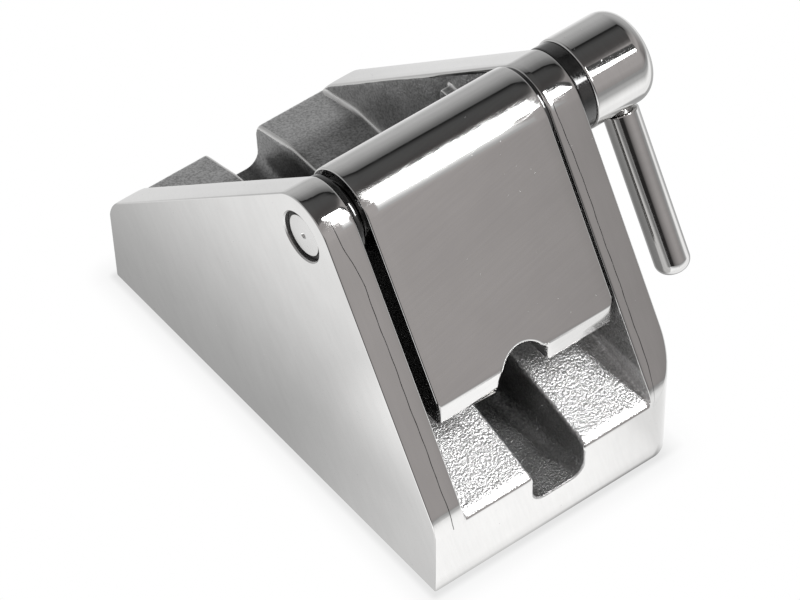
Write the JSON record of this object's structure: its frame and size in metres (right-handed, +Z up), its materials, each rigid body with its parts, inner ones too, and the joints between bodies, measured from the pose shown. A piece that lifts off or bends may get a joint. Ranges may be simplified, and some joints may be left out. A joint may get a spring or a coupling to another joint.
{
  "type": "chain stopper",
  "caption": "Deck-mounted anchor-chain stopper: two triangular cheeks, a grooved chain channel, a hinged notched pawl flap and a side lever rod on its shaft.",
  "frame": {"origin": "centre of the bottom (deck) face of the body casting", "axes": "+Z up from the deck; +Y along the chain towards the anchor (the low rear end of the cheeks), so the pawl flap hangs over the -Y end; +X towards the cheek that carries the lever hub"},
  "size_m": [0.0985, 0.1312, 0.0946],
  "materials": {
    "cast_stainless": "mirror polished outside, as cast in the channel",
    "polished_stainless": "mirror polished",
    "turned_stainless": "turned, fine rings",
    "screw_steel": "satin",
    "bush_polymer": "dark, low gloss"
  },
  "bodies": {
    "base": {"body": "cast_stainless", "left_bush": "bush_polymer", "right_bush": "bush_polymer", "left_thrust_washer": "bush_polymer", "right_thrust_washer": "bush_polymer", "hub_spacer": "bush_polymer"},
    "flap_and_lever": {"pivot_shaft": "turned_stainless", "pawl_flap": "polished_stainless", "flap_set_screws": "screw_steel", "lever_hub": "polished_stainless", "lever_rod": "polished_stainless", "rod_stud": "screw_steel"}
  },
  "joints": [
    {"name": "flap_hinge", "type": "hinge", "parent": "base", "child": "flap_and_lever", "pos_m": [0, -0.0156, 0.0826], "axis": [-1, 0, 0], "range_deg": [0, 244]}
  ]
}
